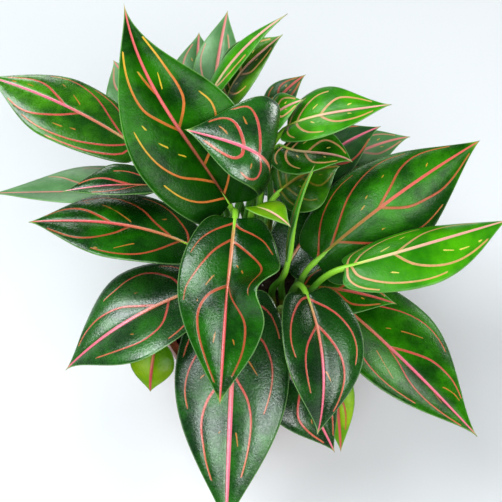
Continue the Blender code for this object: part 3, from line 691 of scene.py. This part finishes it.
def blade(name, facts, rows, columns):
    """The blade: a grid drawn out to the leaf's form, puckered between its veins, then thickened."""
    bpy.ops.object.select_all(action="DESELECT")
    bpy.ops.mesh.primitive_grid_add(x_subdivisions=columns, y_subdivisions=rows, size=2)
    piece = bpy.context.active_object
    piece.name = "evergreen_" + name
    mesh = piece.data
    readings_of = {key: [] for key in ("blade_place", "rib_place", "dash_place", "vein_near", "vein_far",
                                       "vein_near_width", "vein_far_width")}
    veins = veins_of(name, facts)
    own_number = int(name[-2:]) * 3.7
    for vertex in mesh.vertices:
        # The rows stand closer near the neck, and the columns near the midrib.
        t = ((vertex.co.y + 1) / 2) ** 1.25
        s = vertex.co.x * abs(vertex.co.x) ** 0.2
        side = 1 if s > 0 else -1
        out = abs(s)
        reach = reach_at(facts, t, side)
        flat = flat_place(facts, side, t, out)
        lines, dashes = veins[side]
        readings = [vein_reading(line, width, flat) for line, width in lines]
        readings += [NO_VEIN] * (6 - len(readings))
        stroke = min([vein_reading(line, width, flat) for line, width in dashes] + [NO_VEIN],
                     key=lambda reading: abs(reading[0]))
        rib_wide = facts["rib"] * 1.2 * (1 - t) ** 0.5 * (0.7 + 0.9 * t)
        closest = min(readings, key=lambda reading: abs(reading[0]))
        nearest = min([abs(reading[0]) for reading in readings if reading[1] > 0.05] + [out * reach, 4.0])
        raised = 1 - math.exp(-(nearest / PUCKER_SPREAD) ** 2)
        pucker = PUCKER * raised * min(1.0, (1 - out) * reach / 3.0) - PUCKER / 2
        channel = -CHANNEL * math.exp(-(out * reach / CHANNEL_SPREAD) ** 2) * (1 - t) ** 0.5
        normal = leaf_frame(facts, t)[2]
        wave = WAVE * noise.noise(Vector((t * 5, out * 1.5 + side * 9, own_number)))
        wave *= out * min(1.0, reach / 12) * min(1.0, t / 0.3)
        spot = blade_point(facts, t, s) + normal * ((pucker + channel) * min(1.0, reach / 8) + wave)
        readings_of["blade_place"] += (t, s, closest[2])
        readings_of["rib_place"] += (s * reach, rib_wide, (1 - out) * reach)
        readings_of["dash_place"] += (stroke[0], stroke[1], 0.0)
        for key, found in (("vein_near", readings[:3]), ("vein_far", readings[3:6])):
            readings_of[key] += [reading[0] for reading in found]
            readings_of[key + "_width"] += [reading[1] for reading in found]
        vertex.co = spot * MM
    for key, values in readings_of.items():
        mesh.attributes.new(key, "FLOAT_VECTOR", "POINT").data.foreach_set("vector", values)
    weld(piece, 0.00002)
    if sum(face.normal.dot(leaf_frame(facts, 0.5)[2]) for face in mesh.polygons) < 0:
        mesh.flip_normals()
    thickness = piece.modifiers.new("thickness", "SOLIDIFY")
    thickness.thickness = BLADE_THICKNESS * MM
    thickness.offset = 0.0
    thickness.material_offset = 1
    thickness.material_offset_rim = 0
    apply_all(piece)
    return piece


def surface_reach(cane, height, turn):
    """How far the side of a ten-sided cane lies from its middle at a height."""
    top = CANE_TOPS[cane]
    filled = min(1.0, max(0.0, top - 2.5 - height) / 6.5)
    radius = 2.6 + 2.0 * filled
    half_step = math.pi / 10
    return radius * math.cos(half_step) / math.cos(turn % (2 * half_step) - half_step)


def stalk_path(facts):
    """The line of the stalk from the cane to the neck and of the rib under the blade, with its radii."""
    height = facts["foot"][0]
    turn = math.radians(facts["foot"][1])
    outward = Vector((math.cos(turn), math.sin(turn), 0))
    offset = surface_reach(facts["cane"], height, turn) + STALK_FOOT * math.cos(math.atan(facts["lean"])) + SEAT_GAP
    start = Vector((*CANE_PLACES[facts["cane"]], height)) + outward * offset
    neck, direction, normal, _ = leaf_frame(facts, 0.0)
    end = neck - normal * RIB_RADIUS * RIB_SUNK
    pull = (end - start).length * PULL
    first = start + (Vector((0, 0, 1)) + outward * facts["lean"]).normalized() * pull
    second = end - direction * min(pull, 20.0, blade_length(facts) * PULL)
    line = []
    for i in range(STALK_STEPS):
        u = i / STALK_STEPS
        weights = ((1 - u) ** 3, 3 * u * (1 - u) ** 2, 3 * u * u * (1 - u), u ** 3)
        point = start * weights[0] + first * weights[1] + second * weights[2] + end * weights[3]
        line.append((point, STALK_FOOT - STALK_TAPER * u ** 0.7))
    for i in range(RIB_STEPS + 1):
        t = RIB_END * i / RIB_STEPS
        radius = RIB_RADIUS * (1 - t) ** 0.8 + 0.12
        sunk = RIB_SUNK + 0.6 * min(1.0, t / 0.1)
        point, _, normal, _ = leaf_frame(facts, t)
        line.append((point - normal * (radius * sunk + 0.35), radius))
    return line


def stalk(name, facts):
    """The stalk and rib: a tapered tube along its path, turned to a mesh."""
    line = stalk_path(facts)
    curve = bpy.data.curves.new(name, "CURVE")
    curve.dimensions = "3D"
    curve.bevel_depth = MM
    curve.bevel_resolution = 3
    curve.use_fill_caps = True
    spline = curve.splines.new("POLY")
    spline.points.add(len(line) - 1)
    for knot, (point, radius) in zip(spline.points, line):
        knot.co = (*(point * MM), 1.0)
        knot.radius = radius
    piece = bpy.data.objects.new(name, curve)
    bpy.context.scene.collection.objects.link(piece)
    select_only(piece)
    bpy.ops.object.convert(target="MESH")
    weld(piece, 0.00001)
    runs = []
    for vertex in piece.data.vertices:
        nearest = min(range(len(line)), key=lambda i: (line[i][0] * MM - vertex.co).length_squared)
        runs.append(min(1.0, nearest / STALK_STEPS))
    piece.data.attributes.new("stalk_run", "FLOAT", "POINT").data.foreach_set("value", runs)
    return piece


def line_group():
    """A shader group that draws up to three veins from their distances and widths in millimetres."""
    group = bpy.data.node_groups.new("vein_lines", "ShaderNodeTree")
    for name, kind in (("Distances", "Vector"), ("Widths", "Vector"), ("Soft", "Float")):
        group.interface.new_socket(name=name, in_out="INPUT", socket_type="NodeSocket" + kind)
    group.interface.new_socket(name="Mask", in_out="OUTPUT", socket_type="NodeSocketFloat")
    recipe = Recipe(group)
    given = group.nodes.new("NodeGroupInput")
    result = group.nodes.new("NodeGroupOutput")
    far = recipe.node("SeparateXYZ", given.outputs["Distances"])
    wide = recipe.node("SeparateXYZ", given.outputs["Widths"])
    total = None
    for axis in range(3):
        off = recipe.past_edge(far.outputs[axis], wide.outputs[axis])
        line = recipe.span(off, recipe.math("MULTIPLY", given.outputs["Soft"], -1.0), given.outputs["Soft"], 1.0, 0.0)
        line = recipe.math("MULTIPLY", line, recipe.math("MULTIPLY", wide.outputs[axis], 8.0, clamp=True))
        total = line if total is None else recipe.math("MAXIMUM", total, line)
    recipe.feed(result.inputs["Mask"], total)
    return group


vein_lines = line_group()
LIME_TIP, PALE_MARGIN, UNDER_GREEN = (0.20, 0.36, 0.02), (0.20, 0.36, 0.12), (0.13, 0.19, 0.09)


def leaf_material(name, green, tones, underside=False):
    """A waxy leaf skin: green patches, veins and dashes by the blade's own attributes, a pale margin."""
    material, recipe, shader, place = new_material(name)
    dark, light, roughness, gloss = green
    rib_start, rib_base, rib_tip, vein, vein_end, dash = tones

    def reading(key):
        return recipe.node("Attribute", attribute_name=key).outputs["Vector"]

    along, _, run = recipe.node("SeparateXYZ", reading("blade_place")).outputs
    from_rib, rib_wide, from_margin = recipe.node("SeparateXYZ", reading("rib_place")).outputs
    from_dash, dash_wide, _ = recipe.node("SeparateXYZ", reading("dash_place")).outputs
    masks = [recipe.node("Group", node_tree=vein_lines, in_Distances=reading(key), in_Widths=reading(key + "_width"),
                         in_Soft=0.16).outputs["Mask"] for key in ("vein_near", "vein_far")]
    side_veins = recipe.math("MAXIMUM", *masks)
    dashes = recipe.span(recipe.past_edge(from_dash, dash_wide), -0.22, 0.12, 1.0, 0.0)
    rib = recipe.span(recipe.past_edge(from_rib, rib_wide), -0.2, 0.2, 1.0, 0.0)
    margin = recipe.span(from_margin, 0.2, 0.75, 1.0, 0.0)

    patches = recipe.speckle(place, 55.0, 3.0, 0.55)
    blotches = recipe.speckle(place, 320.0, 4.0, 0.6)
    mottle = recipe.span(recipe.math("MULTIPLY_ADD", blotches, 0.22, patches), 0.42, 0.85)
    # Near its foot the blade keeps to its dark green: partly its own darker base, partly painted shade from the leaves
    # above it.
    green = recipe.mix(recipe.math("MULTIPLY", mottle, recipe.span(along, 0.08, 0.48, 0.3, 1.0)), dark, light)
    green = recipe.mix(recipe.span(along, 0.93, 1.0), green, LIME_TIP)
    rib_tone = recipe.mix(recipe.span(along, 0.02, 0.22), rib_start, rib_base)
    rib_tone = recipe.mix(recipe.span(along, 0.25, 0.55), rib_tone, rib_tip)
    side_tone = recipe.mix(recipe.span(run, 0.45, 0.95), vein, vein_end)
    side_tone = recipe.mix(recipe.span(run, 0.0, 0.15, 0.3, 0.0), side_tone, green)
    side_tone = recipe.mix(recipe.span(recipe.speckle(place, 260.0), 0.4, 0.75, 0.0, 0.2), side_tone, green)
    skin = recipe.mix(recipe.math("MULTIPLY", dashes, 0.85), green, dash)
    skin = recipe.mix(recipe.math("MULTIPLY", side_veins, 0.95), skin, side_tone)
    skin = recipe.mix(rib, skin, rib_tone)
    skin = recipe.mix(recipe.math("MULTIPLY", margin, 0.6), skin, PALE_MARGIN)
    if underside:
        skin = recipe.mix(0.55, skin, UNDER_GREEN)
    recipe.feed(shader.inputs["Base Color"], skin)
    cells = recipe.speckle(place, 900.0, 2.0, 0.6)
    recipe.feed(shader.inputs["Roughness"], recipe.span(cells, 0.3, 0.7, roughness, roughness + 0.12))
    if not underside:
        shader.inputs["Specular IOR Level"].default_value = gloss
    grooves = recipe.math("MULTIPLY", recipe.math("MAXIMUM", side_veins, rib), -0.35)
    relief = recipe.math("MULTIPLY_ADD", cells, 0.8, grooves)
    recipe.grain(shader, recipe.math("MULTIPLY_ADD", blotches, 0.25, relief), 0.55, 0.00035)
    return material


# Each green: its dark and light tone, how rough and how glossy it is.
GREENS = {
    "deep": ((0.002, 0.026, 0.0024), (0.012, 0.092, 0.0045), 0.2, 0.62),
    "mid": ((0.0018, 0.028, 0.0014), (0.014, 0.118, 0.002), 0.19, 0.52),
    "satin": ((0.0024, 0.03, 0.0036), (0.02, 0.13, 0.008), 0.23, 0.78),
    "glazed": ((0.002, 0.03, 0.0022), (0.013, 0.1, 0.005), 0.23, 1.0),
    "fresh": ((0.004, 0.048, 0.001), (0.03, 0.185, 0.001), 0.24, 0.22),
    # The shaded green is the fresh green made darker: painted shade, for leaf_01, which lies under leaf_02.
    "shaded": ((0.0024, 0.032, 0.001), (0.02, 0.14, 0.001), 0.24, 0.16),
    "bright": ((0.005, 0.06, 0.001), (0.062, 0.25, 0.003), 0.22, 0.7),
    "olive": ((0.01, 0.062, 0.001), (0.046, 0.17, 0.002), 0.3, 0.25),
    "moss": ((0.018, 0.08, 0.002), (0.07, 0.2, 0.006), 0.3, 0.3),
    "young": ((0.018, 0.15, 0.001), (0.066, 0.31, 0.001), 0.28, 0.28),
    "lime": ((0.085, 0.24, 0.002), (0.24, 0.39, 0.004), 0.32, 0.28),
    "dull": ((0.01, 0.06, 0.012), (0.04, 0.14, 0.026), 0.34, 0.45),
    # The misty green is a pale grey-green: partly painted sheen, its haze standing in for light reflected off the
    # leaves it dresses.
    "misty": ((0.062, 0.165, 0.054), (0.13, 0.27, 0.108), 0.36, 0.45),
}
# Each set of vein tones: the rib at its base, further on and at the tip, then the veins, their ends, the dashes.
TONES = {
    "pink": ((0.48, 0.42, 0.16), (0.54, 0.19, 0.115), (0.63, 0.15, 0.21), (0.5, 0.088, 0.072),
             (0.5, 0.13, 0.065), (0.46, 0.17, 0.04)),
    "faint": ((0.2, 0.22, 0.02), (0.2, 0.15, 0.02), (0.22, 0.15, 0.02), (0.14, 0.13, 0.015),
              (0.14, 0.13, 0.015), (0.2, 0.18, 0.02)),
    "red": ((0.4, 0.26, 0.08), (0.48, 0.18, 0.09), (0.5, 0.088, 0.088), (0.36, 0.074, 0.034),
            (0.3, 0.08, 0.026), (0.38, 0.15, 0.03)),
    "coral": ((0.18, 0.19, 0.024), (0.25, 0.125, 0.024), (0.48, 0.105, 0.08), (0.38, 0.08, 0.038),
              (0.42, 0.14, 0.04), (0.5, 0.24, 0.03)),
    # The amber rib is dark red-brown toward its base: partly its own colour, partly painted shade, as leaf_02 lies
    # over that part of leaf_01.
    "amber": ((0.1, 0.034, 0.02), (0.28, 0.095, 0.048), (0.62, 0.15, 0.145), (0.5, 0.155, 0.04),
              (0.56, 0.34, 0.04), (0.6, 0.4, 0.04)),
    "soft": ((0.3, 0.3, 0.1), (0.42, 0.23, 0.13), (0.52, 0.18, 0.16), (0.42, 0.19, 0.14),
             (0.4, 0.2, 0.12), (0.4, 0.25, 0.08)),
    "salmon": ((0.44, 0.58, 0.08), (0.57, 0.45, 0.25), (0.6, 0.32, 0.26), (0.52, 0.27, 0.135),
               (0.5, 0.28, 0.1), (0.6, 0.46, 0.12)),
}
leaf_skins = {}
for look in sorted({facts["look"] for facts in LEAVES.values()}):
    green, tones = look.split()
    name = f"{green}_{tones}_leaf"
    leaf_skins[look] = (leaf_material(name, GREENS[green], TONES[tones]),
                        leaf_material(name + "_underside", GREENS[green], TONES[tones], underside=True))

# The stalk's dark greens are partly painted shade, for the lower stalks under the leaves; toward the neck they turn to
# the stalk's own lime.
STALK_DARK, STALK_LIGHT, STALK_STREAK = (0.022, 0.115, 0.003), (0.065, 0.225, 0.007), (0.03, 0.11, 0.006)
LIME_NECK, PALE_FOOT = (0.26, 0.55, 0.036), (0.40, 0.34, 0.050)
stalk_skin, recipe, shader, place = new_material("green_stalk")
streaks = recipe.speckle(recipe.node("Mapping", place, in_Scale=(1.0, 1.0, 0.12)).outputs[0], 700.0, 4.0)
skin = recipe.mix(recipe.speckle(place, 90.0), STALK_DARK, STALK_LIGHT)
skin = recipe.mix(recipe.math("MULTIPLY", streaks, 0.5), skin, STALK_STREAK)
stalk_run = recipe.node("Attribute", attribute_name="stalk_run").outputs["Fac"]
skin = recipe.mix(recipe.span(stalk_run, 0.55, 1.0, 0.0, 0.8), skin, LIME_NECK)
skin = recipe.mix(recipe.span(stalk_run, 0.02, 0.22, 0.85, 0.0), skin, PALE_FOOT)
recipe.feed(shader.inputs["Base Color"], skin)
shader.inputs["Roughness"].default_value = 0.42
recipe.grain(shader, streaks, 0.4, 0.0003)

slots = {part["node"]: part["material_slot"] for part in frame["record"]["subparts"]}
for name, facts in LEAVES.items():
    rows, columns = (64, 40) if blade_length(facts) > FULL_GRID_LENGTH else (46, 30)
    piece = blade(name, facts, rows, columns)
    tube = stalk("stalk_" + name, facts)
    for material in (*leaf_skins[facts["look"]], stalk_skin):
        piece.data.materials.append(material)
        tube.data.materials.append(material)
    for face in tube.data.polygons:
        face.material_index = 2
    select_only(piece)
    tube.select_set(True)
    bpy.ops.object.join()
    bpy.ops.object.shade_smooth()
    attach(piece, "root")
    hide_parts(name)


# The studio is a plain pale floor in a dim pale room, with seven square soft lights that point at the plant.
# Four faintly blue ones hang over its front, top and left. Three white ones stand at the right and behind.

SKYLIGHT, WHITE = (0.93, 0.98, 1.0), (1.0, 1.0, 1.0)
bpy.ops.object.select_all(action="DESELECT")
bpy.ops.mesh.primitive_plane_add(size=8.0, location=(0, 0, 0))
floor = bpy.context.active_object
floor.name = "floor"
floor_paint, recipe, shader, place = new_material("pale_floor")
recipe.feed(shader.inputs["Base Color"], (0.58, 0.59, 0.60))
shader.inputs["Roughness"].default_value = 0.7
floor.data.materials.append(floor_paint)

# Each light: its place, the length of its sides, its power and its tint.
LIGHTS = {
    "front_light": ((-0.04, -0.74, 1.03), 0.55, 7.2, SKYLIGHT),
    "top_light": ((-0.42, -0.08, 1.15), 0.4, 3.5, SKYLIGHT),
    "left_light": ((-0.80, 0.26, 1.02), 0.6, 11.0, SKYLIGHT),
    "front_right_light": ((0.62, -0.50, 0.98), 0.35, 2.2, SKYLIGHT),
    "right_light": ((0.60, -0.85, 0.72), 0.45, 5.0, WHITE),
    "back_left_light": ((-0.35, 1.30, 0.36), 0.4, 2.5, WHITE),
    "back_right_light": ((1.05, 0.75, 0.45), 0.5, 7.0, WHITE),
}
plant_middle = Vector((0, 0, 0.12))
for name, (place, size, power, tint) in LIGHTS.items():
    bpy.ops.object.light_add(type="AREA", location=place)
    lamp = bpy.context.active_object
    lamp.name = name
    lamp.data.size = size
    lamp.data.energy = power
    lamp.data.color = tint
    lamp.rotation_euler = (plant_middle - Vector(place)).to_track_quat("-Z", "Y").to_euler()

world = bpy.data.worlds.new("pale_room")
world.use_nodes = True
background = world.node_tree.nodes["Background"]
background.inputs["Color"].default_value = (0.93, 0.96, 1.0, 1.0)
background.inputs["Strength"].default_value = 0.12
bpy.context.scene.world = world


# The camera looks down at the plant from the front, as the photo does.
# It stands close by, under half a metre from the middle of the leaves, with a slightly long lens.

elevation, distance = math.radians(58.0), 0.48
target = Vector((0.0, 0.0, 0.150))
away = Vector((0.0, -math.cos(elevation), math.sin(elevation)))
bpy.ops.object.camera_add(location=target + away * distance)
camera = bpy.context.active_object
camera.name = "camera"
camera.rotation_euler = (target - camera.location).to_track_quat("-Z", "Y").to_euler()
camera.data.sensor_width = 36.0
camera.data.lens = 66.2
bpy.context.scene.camera = camera
bpy.context.scene.view_settings.view_transform = "Standard"
bpy.context.scene.view_settings.look = "Medium High Contrast"
